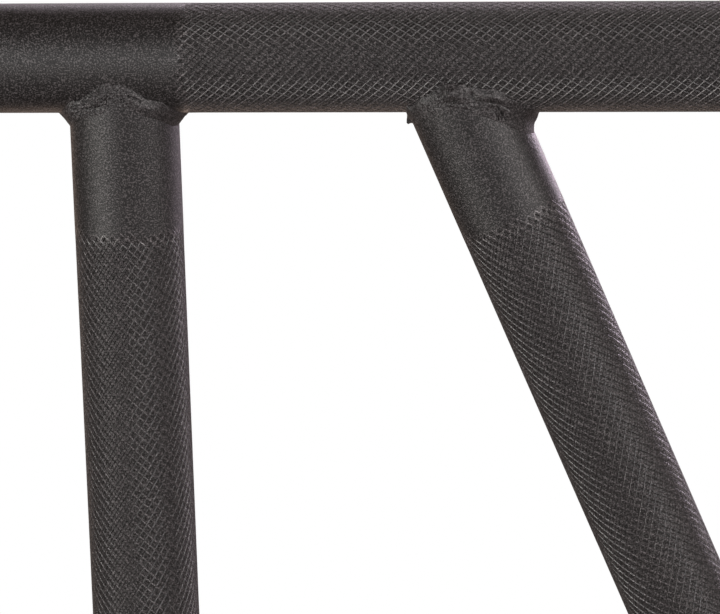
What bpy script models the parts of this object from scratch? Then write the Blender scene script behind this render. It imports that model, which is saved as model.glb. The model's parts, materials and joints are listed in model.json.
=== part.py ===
"""Height-adjustable multi-grip kip bar for a pair of rack uprights.

Metres. X runs along the bar, -Y is the user's side, +Z is up. The origin is on the
line between the two uprights' centres, at the height of the side arms.
Round pieces are turned or swept from their profiles, plates are extruded outlines,
and holes and copes are Boolean cuts.
"""

import math

import bmesh
import bpy
from mathutils import Vector

MM = 0.001
GAP = 0.3 * MM

# Ladder of grips
TUBE_R = 16.0 * MM
ANGLED_R = 15.7 * MM
TUBE_WALL = 3.0 * MM
FRONT_Y = -375 * MM
REAR_Y = -125 * MM
OUTER_X = 290 * MM
INNER_FRONT_X = 195.8 * MM
INNER_LEAN_DEG = 21.9
ROUND_SIDES = 30
HOLE_SIDES = 16
BOLT_SIDES = 12
PIN_SIDES = 24
COPE_CLEAR = 0.6 * MM

# Rack
UPRIGHT_X = 584.2 * MM
UPRIGHT_HALF = 38.1 * MM
HOLE_PITCH = 50.8 * MM

# Side arm, end plate
ARM_HALF = 25 * MM
ARM_WALL = 3 * MM
ARM_CORNER = 4 * MM
ARM_FRONT_Y = -425 * MM
PLATE_T = 8 * MM
PLATE_Y = (-412 * MM, -88 * MM)
PLATE_HALF_Z = 30 * MM
BOLT_Y = (-312 * MM, -188 * MM)

# Saddle and its liners
LINER_T = 3 * MM
SIDE_CLEAR = 1 * MM
SADDLE_T = 6 * MM
SADDLE_Z = (-105 * MM, 85 * MM)
SADDLE_BACK_Y = 34 * MM
SADDLE_CHAMFER = 22 * MM
PEG_R = 7.7 * MM
PEG_TIP_Y = -26 * MM

# Pull pin
PIN_Z = HOLE_PITCH
PIN_R = 7.7 * MM
PIN_REACH = 10 * MM
SPRING_TURNS = 5.5

COAT = ("black_textured_coat", (0.030, 0.030, 0.033), 0.62, 0.15)
ZINC = ("zinc_steel", (0.60, 0.61, 0.62), 0.35, 1.0)
CHROME = ("chromed_steel", (0.78, 0.79, 0.80), 0.12, 1.0)
SPRING_STEEL = ("spring_steel", (0.35, 0.35, 0.36), 0.3, 1.0)
PLASTIC = ("black_plastic", (0.022, 0.022, 0.024), 0.5, 0.0)
LINER = ("liner_plastic", (0.055, 0.055, 0.060), 0.6, 0.0)


def clear_scene():
    for obj in list(bpy.data.objects):
        bpy.data.objects.remove(obj, do_unlink=True)


def material(spec):
    name, colour, roughness, metallic = spec
    found = bpy.data.materials.get(name)
    if found:
        return found
    made = bpy.data.materials.new(name)
    made.use_nodes = True
    shader = made.node_tree.nodes["Principled BSDF"]
    shader.inputs["Base Color"].default_value = (*colour, 1.0)
    shader.inputs["Roughness"].default_value = roughness
    shader.inputs["Metallic"].default_value = metallic
    made.diffuse_color = (*colour, 1.0)
    return made


def assembly(name, place=(0, 0, 0)):
    """An empty that the pieces of one assembly hang from."""
    empty = bpy.data.objects.new(name, None)
    empty.empty_display_size = 0.05
    empty.location = place
    bpy.context.scene.collection.objects.link(empty)
    return empty


def hang(parent, pieces):
    for piece in pieces:
        piece.location = piece.location - parent.location
        piece.parent = parent


def add_object(name, points, faces, spec=None, smooth=False, origin=(0, 0, 0)):
    """A mesh object with its faces turned outwards; spec None makes a cutter."""
    mesh = bpy.data.meshes.new(name)
    origin = Vector(origin)
    mesh.from_pydata([tuple(p - origin) for p in points], [], faces)
    shaped = bmesh.new()
    shaped.from_mesh(mesh)
    bmesh.ops.recalc_face_normals(shaped, faces=shaped.faces)
    if shaped.calc_volume(signed=True) < 0:
        bmesh.ops.reverse_faces(shaped, faces=shaped.faces)
    shaped.to_mesh(mesh)
    shaped.free()
    if smooth:
        mesh.shade_smooth()
        mesh.set_sharp_from_angle(angle=math.radians(32))
    obj = bpy.data.objects.new(name, mesh)
    obj.location = origin
    bpy.context.scene.collection.objects.link(obj)
    if spec is None:
        obj.hide_render = True
        obj.display_type = "WIRE"
    else:
        mesh.materials.append(material(spec))
    return obj


def cut(obj, cutters):
    for cutter in cutters:
        boolean = obj.modifiers.new("cut", "BOOLEAN")
        boolean.operation = "DIFFERENCE"
        boolean.solver = "EXACT"
        boolean.object = cutter


def loft(sections, ring=False):
    """Faces for equal-length closed sections in a row, capped, or joined up in a ring."""
    count = len(sections[0])
    points = [p for section in sections for p in section]
    faces = []
    rows = len(sections)
    for i in range(rows if ring else rows - 1):
        a = i * count
        b = (i + 1) % rows * count
        for j in range(count):
            k = (j + 1) % count
            faces.append((a + j, a + k, b + k, b + j))
    if not ring:
        faces.append(tuple(range(count)))
        faces.append(tuple(range((rows - 1) * count, rows * count)))
    return points, faces


def axes_of(direction):
    """Two unit vectors square to a direction; the second is +Z for a level one."""
    along = direction.normalized()
    up = Vector((0, 0, 1)) if abs(along.z) < 0.9 else Vector((0, 1, 0))
    side = along.cross(up).normalized()
    return along, side, side.cross(along).normalized()


def circle(centre, side, up, radius, count=ROUND_SIDES, hexagon=False):
    ring = []
    for i in range(count):
        turn = 2 * math.pi * i / count
        reach = radius
        if hexagon:
            reach = radius / math.cos((turn + math.pi / 6) % (math.pi / 3) - math.pi / 6)
        ring.append(centre + side * (reach * math.cos(turn)) + up * (reach * math.sin(turn)))
    return ring


def turned(name, start, direction, profile, spec, count=ROUND_SIDES, bored=False):
    """A turned piece. profile lists (distance, radius) or (distance, radius, 'hex').

    bored closes the profile on itself, so the piece has a hole through it.
    """
    along, side, up = axes_of(direction)
    sections = []
    for step in profile:
        centre = start + along * step[0]
        sections.append(circle(centre, side, up, step[1], count, len(step) > 2))
    points, faces = loft(sections, ring=bored)
    return add_object(name, points, faces, spec, smooth=True, origin=start)


def tube(name, start, end, spec):
    """Round tube, open at both ends."""
    length = (end - start).length
    inner = TUBE_R - TUBE_WALL
    profile = [(0, inner), (0, TUBE_R), (length, TUBE_R), (length, inner)]
    return turned(name, start, end - start, profile, spec, bored=True)


def reach_to_rail(turn, radius, along, side, clear):
    """How far along a handle's wall, from the rails' axes, the rail's wall comes."""
    height = radius * math.sin(turn)
    depth = math.sqrt(max((TUBE_R + clear) ** 2 - height ** 2, 0))
    lean = 1 if along.y > 0 else -1
    return (depth * lean - radius * math.cos(turn) * side.y) / along.y


def coped_tube(name, front, rear, outer, spec):
    """Round tube whose ends are cut to lie against the two rails."""
    along, side, up = axes_of(rear - front)
    inner = outer - TUBE_WALL
    turns = [2 * math.pi * i / ROUND_SIDES for i in range(ROUND_SIDES)]
    sections = []
    for end, sign, radii in ((front, 1, (inner, outer)), (rear, -1, (outer, inner))):
        for radius in radii:
            ring = []
            for turn in turns:
                out = side * math.cos(turn) + up * math.sin(turn)
                reach = reach_to_rail(turn, radius, along * sign, side, COPE_CLEAR)
                ring.append(end + along * (sign * reach) + out * radius)
            sections.append(ring)
    points, faces = loft(sections, ring=True)
    return add_object(name, points, faces, spec, smooth=True, origin=(front + rear) / 2)


def rod_cutter(name, start, end, radius):
    length = (end - start).length
    return turned(name, start, end - start, [(0, radius), (length, radius)], None, HOLE_SIDES)


def block(name, low, high, spec, chamfer=0.0):
    """Box between two corners, its long edges broken by a Bevel."""
    points = [Vector((x, y, z)) for x in (low[0], high[0]) for y in (low[1], high[1])
              for z in (low[2], high[2])]
    faces = [(0, 1, 3, 2), (4, 6, 7, 5), (0, 4, 5, 1), (2, 3, 7, 6), (0, 2, 6, 4), (1, 5, 7, 3)]
    obj = add_object(name, points, faces, spec)
    if chamfer:
        bevel = obj.modifiers.new("edge", "BEVEL")
        bevel.width = chamfer
        bevel.segments = 1
        bevel.limit_method = "ANGLE"
    return obj


def extruded(name, outline, low, high, plane, spec):
    """An outline of (a, b) extruded between two levels of the third axis."""
    def place(a, b, level):
        if plane == "YZ":
            return Vector((level, a, b))
        if plane == "XY":
            return Vector((a, b, level))
        return Vector((a, level, b))
    sections = [[place(a, b, level) for a, b in outline] for level in (low, high)]
    points, faces = loft(sections)
    return add_object(name, points, faces, spec)


def rounded_corner(centre, radius, first_deg, steps=2):
    arc = []
    for i in range(steps + 1):
        turn = math.radians(first_deg + 90 * i / steps)
        arc.append((centre[0] + radius * math.cos(turn), centre[1] + radius * math.sin(turn)))
    return arc


def rounded_square(half, radius, steps=2):
    inner = half - radius
    outline = []
    for sign_a, sign_b, first in ((1, 1, 0), (-1, 1, 90), (-1, -1, 180), (1, -1, 270)):
        outline += rounded_corner((sign_a * inner, sign_b * inner), radius, first, steps)
    return outline


def handle_ends(side, kind):
    """Where a handle's axis meets the front and rear rails' axes."""
    if kind == "outer":
        return Vector((side * OUTER_X, FRONT_Y, 0)), Vector((side * OUTER_X, REAR_Y, 0))
    lean = (REAR_Y - FRONT_Y) * math.tan(math.radians(INNER_LEAN_DEG))
    front = Vector((side * INNER_FRONT_X, FRONT_Y, 0))
    return front, Vector((side * (INNER_FRONT_X - lean), REAR_Y, 0))


def on_rail(point, axis_y, clear):
    """The point moved square to the rail until it is clear of the rail's wall."""
    offset = Vector((0, point.y - axis_y, point.z))
    away = offset.normalized() if offset.length else Vector((0, 0, 1))
    return Vector((point.x, axis_y, 0)) + away * (TUBE_R + clear)


def weld_ring(name, joint, towards, radius, spec):
    """Fillet bead along the line where a handle's wall meets a rail's wall."""
    leg = 5.2 * MM
    crown = 2.5 * MM
    root = 0.8 * MM
    along, side, up = axes_of(towards - joint)
    lean = 1 if along.y > 0 else -1
    sections = []
    steps = 28
    for i in range(steps):
        turn = 2 * math.pi * i / steps
        out = side * math.cos(turn) + up * math.sin(turn)
        reach = reach_to_rail(turn, radius, along, side, 0.0)
        seam = joint + along * reach + out * radius
        normal = Vector((0, seam.y - joint.y, seam.z)).normalized()
        middle = (out + normal).normalized()
        spread = max(0.0, 1 - out.dot(normal))
        away = out - normal * out.dot(normal)
        flat = Vector((0, -lean, 0))
        flat = (flat - normal * flat.dot(normal)).normalized()
        away = (away.normalized() * min(1, spread) + flat * max(0, 1 - spread)).normalized()
        section = [
            seam + along * leg + out * root,
            seam + middle * (crown + spread * 1.4 * MM),
            on_rail(seam + away * leg, joint.y, root),
            on_rail(seam + away * (leg * 0.5), joint.y, root),
            seam + middle * (root * (1 + 0.6 * spread)),
        ]
        sections.append(section)
    points, faces = loft(sections, ring=True)
    return add_object(name, points, faces, spec, smooth=True)


def ladder():
    rail_half = UPRIGHT_X - ARM_HALF - GAP - PLATE_T - GAP
    for name, y in (("front_rail", FRONT_Y), ("rear_rail", REAR_Y)):
        tube(name, Vector((-rail_half, y, 0)), Vector((rail_half, y, 0)), COAT)
    for word, side in (("left", -1), ("right", 1)):
        for kind in ("outer", "inner"):
            front, rear = handle_ends(side, kind)
            radius = ANGLED_R if kind == "inner" else TUBE_R
            coped_tube(f"{kind}_handle_{word}", front, rear, radius, COAT)
            weld_ring(f"weld_{kind}_{word}_front", front, rear, radius, COAT)
            weld_ring(f"weld_{kind}_{word}_rear", rear, front, radius, COAT)
        for end, y in (("front", FRONT_Y), ("rear", REAR_Y)):
            start = Vector((side * rail_half, y, 0))
            bead = [(0, TUBE_R + GAP), (0, TUBE_R + 6.5 * MM), (3.2 * MM, TUBE_R + 3.2 * MM),
                    (6.5 * MM, TUBE_R + GAP)]
            turned(f"weld_rail_{word}_{end}", start, Vector((-side, 0, 0)), bead, COAT, bored=True)


def end_plate(word, side):
    inner = UPRIGHT_X - ARM_HALF - GAP - PLATE_T
    outer = UPRIGHT_X - ARM_HALF - GAP
    mid = sum(PLATE_Y) / 2
    half = (PLATE_Y[1] - PLATE_Y[0]) / 2
    radius = 14 * MM
    outline = []
    for sign_a, sign_b, first in ((1, 1, 0), (-1, 1, 90), (-1, -1, 180), (1, -1, 270)):
        centre = (mid + sign_a * (half - radius), sign_b * (PLATE_HALF_Z - radius))
        outline += rounded_corner(centre, radius, first)
    plate = extruded(f"end_plate_{word}", outline, side * inner, side * outer, "YZ", COAT)
    holes = []
    for i, y in enumerate(BOLT_Y):
        start = Vector((side * (inner - 5 * MM), y, 0))
        stop = Vector((side * (UPRIGHT_X + ARM_HALF + 5 * MM), y, 0))
        holes.append(rod_cutter(f"bolt_hole_{word}_{i}", start, stop, 6.6 * MM))
    cut(plate, holes)
    return holes


def side_arm(word, side, holes):
    rear = -(UPRIGHT_HALF + LINER_T + GAP + SADDLE_T + GAP)
    centre = side * UPRIGHT_X
    outer = [(centre + a, b) for a, b in rounded_square(ARM_HALF, ARM_CORNER)]
    inner_half = ARM_HALF - ARM_WALL
    inner = [(centre + a, b) for a, b in rounded_square(inner_half, ARM_CORNER - 2.5 * MM)]
    sections = []
    for level, outline in ((ARM_FRONT_Y, inner), (ARM_FRONT_Y, outer), (rear, outer), (rear, inner)):
        sections.append([Vector((a, level, b)) for a, b in outline])
    points, faces = loft(sections, ring=True)
    arm = add_object(f"side_arm_{word}", points, faces, COAT)
    cut(arm, holes)
    cap_outer = [(centre + a, b) for a, b in rounded_square(ARM_HALF, ARM_CORNER)]
    crown = [(centre + a, b) for a, b in rounded_square(ARM_HALF - 1.2 * MM, ARM_CORNER - 1 * MM)]
    plug = [(centre + a, b) for a, b in rounded_square(inner_half - GAP, ARM_CORNER - 2.5 * MM)]
    levels = (
        (ARM_FRONT_Y - 4.5 * MM, crown),
        (ARM_FRONT_Y - 3.3 * MM, cap_outer),
        (ARM_FRONT_Y - GAP, cap_outer),
        (ARM_FRONT_Y - GAP, plug),
        (ARM_FRONT_Y + 14 * MM, plug),
    )
    sections = [[Vector((a, level, b)) for a, b in outline] for level, outline in levels]
    points, faces = loft(sections)
    add_object(f"arm_cap_{word}", points, faces, PLASTIC)


def bolts(word, side):
    head_face = UPRIGHT_X - ARM_HALF - GAP - PLATE_T - GAP
    nut_face = UPRIGHT_X + ARM_HALF + GAP
    across = 9 * MM
    for place, y in zip(("front", "rear"), BOLT_Y):
        out = Vector((side, 0, 0))
        start = Vector((side * (head_face - 10.5 * MM), y, 0))
        total = nut_face + 14 * MM - (head_face - 10.5 * MM)
        profile = [
            (0, across * 0.86), (1 * MM, across, "hex"), (7.8 * MM, across, "hex"),
            (8.4 * MM, 12.2 * MM), (10.5 * MM, 13 * MM), (10.5 * MM, 5.9 * MM),
            (total - 1 * MM, 5.9 * MM), (total, 4.9 * MM),
        ]
        turned(f"flange_bolt_{word}_{place}", start, out, profile, ZINC, BOLT_SIDES)
        nut = [
            (0, 6.3 * MM), (0, 13 * MM), (2.1 * MM, 12.2 * MM), (2.7 * MM, across, "hex"),
            (10.5 * MM, across, "hex"), (11.3 * MM, across * 0.86), (11.3 * MM, 6.3 * MM),
        ]
        start = Vector((side * nut_face, y, 0))
        turned(f"flange_nut_{word}_{place}", start, out, nut, ZINC, BOLT_SIDES, bored=True)


def gussets(word, side):
    web = -(UPRIGHT_HALF + LINER_T + GAP + SADDLE_T + GAP)
    under = -(ARM_HALF + GAP)
    outline = [
        (web, under), (-185 * MM, under), (-185 * MM, under - 8 * MM),
        (web - 15 * MM, -98 * MM), (web, -98 * MM),
    ]
    for place, offset in (("inboard", -21 * MM), ("outboard", 21 * MM)):
        middle = UPRIGHT_X + offset
        low, high = middle - 3 * MM, middle + 3 * MM
        extruded(f"gusset_{word}_{place}", outline, side * low, side * high, "YZ", COAT)


def saddle(word, side):
    centre = side * UPRIGHT_X
    web_in = -(UPRIGHT_HALF + LINER_T + GAP)
    web_out = web_in - SADDLE_T
    cheek_in = UPRIGHT_HALF + SIDE_CLEAR + LINER_T + GAP
    cheek_out = cheek_in + SADDLE_T
    bend = 9 * MM
    left_bend = rounded_corner((-(cheek_out - bend), web_out + bend), bend, 180)
    right_bend = rounded_corner((cheek_out - bend, web_out + bend), bend, 270)
    outline = [
        (cheek_out, SADDLE_BACK_Y), (cheek_in, SADDLE_BACK_Y), (cheek_in, web_in + 2.5 * MM),
        (cheek_in - 2.5 * MM, web_in), (-cheek_in + 2.5 * MM, web_in), (-cheek_in, web_in + 2.5 * MM),
        (-cheek_in, SADDLE_BACK_Y), (-cheek_out, SADDLE_BACK_Y),
    ] + left_bend + right_bend
    outline = [(centre + a, b) for a, b in outline]
    body = extruded(f"saddle_{word}", outline, SADDLE_Z[0], SADDLE_Z[1], "XY", COAT)
    cutters = []
    far = 70 * MM
    for place, z, sign in (("top", SADDLE_Z[1], 1), ("bottom", SADDLE_Z[0], -1)):
        slope = [
            (SADDLE_BACK_Y - SADDLE_CHAMFER, z + sign * 1 * MM), (SADDLE_BACK_Y + 1 * MM, z + sign * 1 * MM),
            (SADDLE_BACK_Y + 1 * MM, z - sign * SADDLE_CHAMFER),
        ]
        cutters.append(extruded(f"corner_{word}_{place}", slope, centre - far, centre + far, "YZ", None))
    for place, z in (("upper", HOLE_PITCH), ("lower", -HOLE_PITCH)):
        start = Vector((centre, web_out - 5 * MM, z))
        stop = Vector((centre, web_in + 10 * MM, z))
        cutters.append(rod_cutter(f"peg_hole_{word}_{place}", start, stop, PEG_R + GAP))
    start = Vector((side * (UPRIGHT_X + UPRIGHT_HALF - 5 * MM), 0, PIN_Z))
    stop = Vector((side * (UPRIGHT_X + cheek_out + 5 * MM), 0, PIN_Z))
    pin_hole = rod_cutter(f"pin_hole_{word}", start, stop, PIN_R + 0.4 * MM)
    cut(body, cutters + [pin_hole])

    low_z = SADDLE_Z[0] + 4 * MM
    high_z = SADDLE_Z[1] - 4 * MM
    face = UPRIGHT_HALF
    liner = block(f"liner_web_{word}", (centre - face, web_in + GAP, low_z),
                  (centre + face, web_in + GAP + LINER_T, high_z), LINER)
    cut(liner, cutters[2:])
    near = cheek_in - GAP - LINER_T
    chamfer = SADDLE_CHAMFER - 2 * MM
    front = -UPRIGHT_HALF + 2 * MM
    back = SADDLE_BACK_Y - 3 * MM
    shape = [
        (front, low_z), (back - chamfer, low_z), (back, low_z + chamfer),
        (back, high_z - chamfer), (back - chamfer, high_z), (front, high_z),
    ]
    for place, sign in (("outboard", 1), ("inboard", -1)):
        levels = [side * (UPRIGHT_X + sign * near), side * (UPRIGHT_X + sign * (near + LINER_T))]
        liner = extruded(f"liner_{place}_{word}", shape, levels[0], levels[1], "YZ", LINER)
        if place == "outboard":
            cut(liner, [pin_hole])

    for place, z in (("upper", HOLE_PITCH), ("lower", -HOLE_PITCH)):
        start = Vector((centre, web_out - GAP - 4.5 * MM, z))
        head = 12 * MM
        reach = PEG_TIP_Y - start.y
        profile = [
            (0, head - 1 * MM), (1 * MM, head), (4.5 * MM, head), (4.5 * MM, PEG_R),
            (reach - 2 * MM, PEG_R), (reach, PEG_R - 2 * MM),
        ]
        turned(f"peg_{word}_{place}", start, Vector((0, 1, 0)), profile, ZINC, HOLE_SIDES)
    return UPRIGHT_X + cheek_out


def spring(name, start, direction, length, radius, wire, spec):
    along, side, up = axes_of(direction)
    steps = int(SPRING_TURNS * 10)
    sections = []
    for i in range(steps + 1):
        turn = 2 * math.pi * SPRING_TURNS * i / steps
        out = side * math.cos(turn) + up * math.sin(turn)
        travel = wire + (length - 2 * wire) * i / steps
        centre = start + along * travel + out * radius
        ring = []
        for j in range(4):
            bend = 2 * math.pi * j / 4
            ring.append(centre + out * (wire * math.cos(bend)) + along * (wire * math.sin(bend)))
        sections.append(ring)
    points, faces = loft(sections)
    return add_object(name, points, faces, spec, smooth=True)


def pull_pin(word, side, cheek_face):
    out = Vector((side, 0, 0))
    base = cheek_face + GAP
    chamber = 29 * MM
    wall = 7 * MM

    def at(x):
        return Vector((side * x, 0, PIN_Z))

    barrel = [
        (0, 10.9 * MM), (0, 15 * MM), (chamber + wall - 1.5 * MM, 15 * MM),
        (chamber + wall, 13.5 * MM), (chamber + wall, 6.4 * MM), (chamber, 6.4 * MM),
        (chamber, 10.9 * MM),
    ]
    turned(f"pin_barrel_{word}", at(base), out, barrel, COAT, PIN_SIDES, bored=True)
    tip = UPRIGHT_X + UPRIGHT_HALF - PIN_REACH
    collar = base + 0.2 * MM - tip
    rod_end = base + chamber + wall + 17 * MM - tip
    plunger = [
        (0, PIN_R - 2.2 * MM), (2.2 * MM, PIN_R), (collar, PIN_R), (collar, 10.4 * MM),
        (collar + 4 * MM, 10.4 * MM), (collar + 4 * MM, 6.0 * MM), (rod_end, 6.0 * MM),
    ]
    turned(f"pin_plunger_{word}", at(tip), out, plunger, CHROME, PIN_SIDES)
    coil_start = base + 0.2 * MM + 4 * MM + GAP
    coil_length = base + chamber - GAP - coil_start
    spring(f"pin_spring_{word}", at(coil_start), out, coil_length, 8.6 * MM, 0.75 * MM, SPRING_STEEL)
    knob = [
        (0, 6.4 * MM), (0, 10 * MM), (2 * MM, 11 * MM), (9 * MM, 11.5 * MM), (14 * MM, 15 * MM),
        (18 * MM, 17 * MM), (26 * MM, 17 * MM), (29.5 * MM, 15 * MM), (31 * MM, 11 * MM),
    ]
    bore = [(17.4 * MM, 6.4 * MM)]
    start = at(base + chamber + wall + 0.6 * MM)
    turned(f"pin_knob_{word}", start, out, bore + knob, PLASTIC, PIN_SIDES)


def main():
    clear_scene()
    before = set(bpy.data.objects)
    ladder()
    grips = assembly("ladder", (0, (FRONT_Y + REAR_Y) / 2, 0))
    hang(grips, [o for o in bpy.data.objects if o not in before and o is not grips])
    for word, side in (("left", -1), ("right", 1)):
        before = set(bpy.data.objects)
        holes = end_plate(word, side)
        side_arm(word, side, holes)
        bolts(word, side)
        gussets(word, side)
        cheek_face = saddle(word, side)
        made = [o for o in bpy.data.objects if o not in before]
        carrier = assembly(f"carrier_{word}", (side * UPRIGHT_X, 0, 0))
        hang(carrier, made)
        before = set(bpy.data.objects)
        pull_pin(word, side, cheek_face)
        made = [o for o in bpy.data.objects if o not in before]
        pin_axis = assembly(f"pull_pin_axis_{word}", (side * (UPRIGHT_X + UPRIGHT_HALF), 0, PIN_Z))
        hang(pin_axis, made)


main()
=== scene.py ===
"""Looks for the kip bar: knurled, powder-coated grips, hand-laid weld beads and the rack hardware.

Lengths are in millimetres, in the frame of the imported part: X along the bar, -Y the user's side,
+Z up. A finish is a list of materials and the record's slot they stand for.
"""

import json
import math
import random

import bpy
import numpy as np
from mathutils import Matrix, Vector, noise

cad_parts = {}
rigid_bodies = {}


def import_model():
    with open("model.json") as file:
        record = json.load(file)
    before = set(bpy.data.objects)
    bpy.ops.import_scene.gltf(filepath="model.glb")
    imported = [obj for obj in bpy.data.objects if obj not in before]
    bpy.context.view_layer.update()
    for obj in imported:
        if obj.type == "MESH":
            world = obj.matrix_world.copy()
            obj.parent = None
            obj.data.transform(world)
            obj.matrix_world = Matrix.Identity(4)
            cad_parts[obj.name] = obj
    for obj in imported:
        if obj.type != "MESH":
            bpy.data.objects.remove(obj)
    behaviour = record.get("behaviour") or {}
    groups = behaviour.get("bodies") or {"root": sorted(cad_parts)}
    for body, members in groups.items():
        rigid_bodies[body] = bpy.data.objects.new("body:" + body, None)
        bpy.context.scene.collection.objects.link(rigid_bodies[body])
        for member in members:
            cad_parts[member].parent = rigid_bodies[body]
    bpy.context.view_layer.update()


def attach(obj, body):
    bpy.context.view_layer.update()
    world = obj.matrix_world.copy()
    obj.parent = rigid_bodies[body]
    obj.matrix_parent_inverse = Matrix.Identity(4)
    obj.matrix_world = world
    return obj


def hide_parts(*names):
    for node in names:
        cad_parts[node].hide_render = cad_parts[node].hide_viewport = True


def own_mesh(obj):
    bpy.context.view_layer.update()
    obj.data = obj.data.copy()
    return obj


MM = 0.001
X, Y, Z = Vector((1, 0, 0)), Vector((0, 1, 0)), Vector((0, 0, 1))
SIDES = (("left", -1), ("right", 1))
ENDS = ("front", "rear")
COAT_SLOT = "black_textured_coat"

# Ladder of grips
TUBE_R = 16.0
ANGLED_R = 15.7
FRONT_Y, REAR_Y = -375.0, -125.0
OUTER_X = 290.0
INNER_FRONT_X = 195.8
INNER_LEAN = math.radians(21.9)
RAIL_SEAM_X = 340.0
RAIL_END_X = 550.6
RAIL_WELD_X = 550.7

# Knurling: groove lines A and B wind opposite ways round the tube
RAIL_GRIP_X = 271.4
WIDE_GRIP_X = (350.0, 540.0)
HANDLE_GRIP = (50.0, 200.0)
STARTS_A, STARTS_B = 34, 40
PITCH_A, PITCH_B = 2.93, 3.78
GROOVE_SHARE = 0.11
CREST = -0.05
GROOVE = 0.40
FLANK_TILT = (1.0, 1.0, 0.5, 0.5)
RUN_OUT_START = 1.6
RUN_OUT = 2.0
# The flank coats carry painted highlight, A paler than B, and the crest coat painted shade.
CREST_COAT, FLANK_A_COAT, FLANK_B_COAT = 0, 1, 2

# Handle ends, hidden under their beads
HANDLE_LEG = 4.0
SIDE_RISE = 6.5
TUBE_CLEAR = 0.4
UNDER_BEAD = 4.2

# Side arms and rack hardware
PLATE_X = (550.9, 558.9)
PLATE_CORNER = 14
ARM_X = 584.2
ARM_HALF = 25.0
ARM_CORNER = 4
ARM_FRONT_Y = -425.0
ARM_REAR_Y = -47.7
CAP_Y = (-429.5, -425.3)
PLATE_Y = (-412.0, -88.0)
PLATE_HALF_Z = 30.0
BOLT_Y = (-312.0, -188.0)
BOLT_HEAD_X = 540.1
BOLT_TIP_X = 623.5
BOLT_R = 5.9
NUT_X = 609.5
HEX_FLAT = 9.0
THREAD_PITCH = 1.75
THREAD_LENGTH = 16
THREAD_STEP = 0.22
THREAD_CHAMFER = 1.2
PEG_Z = 50.8
PEG_HEAD_Y = -52.2
PEG_R = 7.7
PIN_Z = 50.8
BARREL_X = 632.9
CHEEK_X = 632.6
KNOB_X = 669.5
PLUNGER_X = 612.3
SPRING_X = (637.4, 661.6)
SPRING_WIRE_R, SPRING_COIL_R = 0.75, 8.6
SPRING_TURNS = 5.5
GUSSETS = (("inboard", -21.0), ("outboard", 21.0))
GUSSET_HALF = 3.0
GUSSET_TOP_Z = -25.3
GUSSET_FRONT_Y = -185.0
GUSSET_REAR_Y = -47.7
GUSSET_LOW_Z = -98.0
SADDLE_FACE_Y = -47.4
SADDLE_T = 6.0
SADDLE_OFFSET = 42.4
SADDLE_BEND = 9.0
SADDLE_BACK_Y = 34.0
SADDLE_CHAMFER = 22.0
SADDLE_Z = (-105.0, 85.0)
SADDLE_EDGE = 0.9
LINER_T = 3.0
LINER_WEB_HALF = 38.1
LINER_WEB_Y = -41.1
LINER_CHEEK_OFFSET = 39.1
LINER_CHEEK_Y = (-36.1, 31.0)
LINER_CUT = 20
LINER_Z = (-101.0, 81.0)
SCREW_SINK = 0.15
MOUNT_GAP = 0.1
MOUNT_LEG = 3.6

# Camera of the reference picture: below the bar, looking up past the user's side
CAMERA_TARGET = (-222.31, -299.98, 0.0)
CAMERA_AZIMUTH = math.radians(-26.17)
CAMERA_ELEVATION = math.radians(-73.0)
CAMERA_ROLL = math.radians(25.376)
CAMERA_DISTANCE = 1500.0
CAMERA_LENS = 255.44
CAMERA_SENSOR = 36

# Softboxes round the camera's line of sight: share to the right, up and towards the
# camera, power, colour
LIGHT_DISTANCE = 1900.0
LIGHT_SIZE_M = 0.7
LIGHTS = (
    ("left_front", -0.5, 0.0, 0.86, 9.5, (1.0, 1.0, 1.0)),
    ("left", -0.87, 0.0, 0.5, 8.0, (0.97, 1.0, 0.95)),
    ("left_low", -0.8, -0.35, 0.45, 10.5, (1.0, 0.95, 0.90)),
    ("right_front", 0.5, 0.0, 0.86, 7.0, (1.0, 0.98, 0.98)),
    ("right", 0.87, 0.0, 0.5, 10.0, (1.0, 0.93, 0.93)),
    ("right_high", 0.8, 0.35, 0.45, 9.0, (1.0, 0.96, 0.92)),
    ("right_behind", 0.75, 0.0, -0.66, 2.5, (1.0, 0.85, 1.0)),
    ("right_rim", 0.47, 0.40, -0.79, 20.0, (1.0, 0.85, 1.0)),
    ("top_behind", 0.0, 0.65, -0.76, 5.0, (1.0, 0.88, 0.98)),
    ("low_behind", 0.0, -0.5, -0.87, 2.0, (1.0, 0.74, 0.6)),
    ("left_behind", -0.5, 0.0, -0.87, 0.8, (1.0, 0.74, 0.6)),
)
AMBIENT_COLOUR = (1.0, 0.78, 0.68, 1)
AMBIENT_STRENGTH = 0.165
FLOOR_Z = -2350.0
FLOOR_HALF = 12000


# ---------------- mesh helpers


def make_piece(name, points, faces, finish, nodes=(), body="frame", sharp_deg=None,
               normals=None, kinds=None, lattice=None):
    """A mesh object from points in mm, which stands for those CAD nodes.

    normals and lattice, if given, hold a value for each face corner, and kinds holds
    the index of each face's material.
    """
    materials, slot = finish
    mesh = bpy.data.meshes.new(name)
    mesh.from_pydata((np.asarray(points, float) * MM).tolist(), [],
                     [list(map(int, face)) for face in faces])
    mesh.validate()
    mesh.shade_smooth()
    if normals is not None:
        mesh.normals_split_custom_set(normals)
    elif sharp_deg is not None:
        mesh.set_sharp_from_angle(angle=math.radians(sharp_deg))
    for material in materials:
        mesh.materials.append(material)
    if kinds is not None:
        mesh.polygons.foreach_set("material_index", kinds)
    if lattice is not None:
        mesh.uv_layers.new(name="knurl").data.foreach_set("uv", lattice)
    obj = bpy.data.objects.new(name, mesh)
    bpy.context.scene.collection.objects.link(obj)
    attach(obj, body)
    if nodes:
        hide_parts(*nodes)
    return obj


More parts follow.
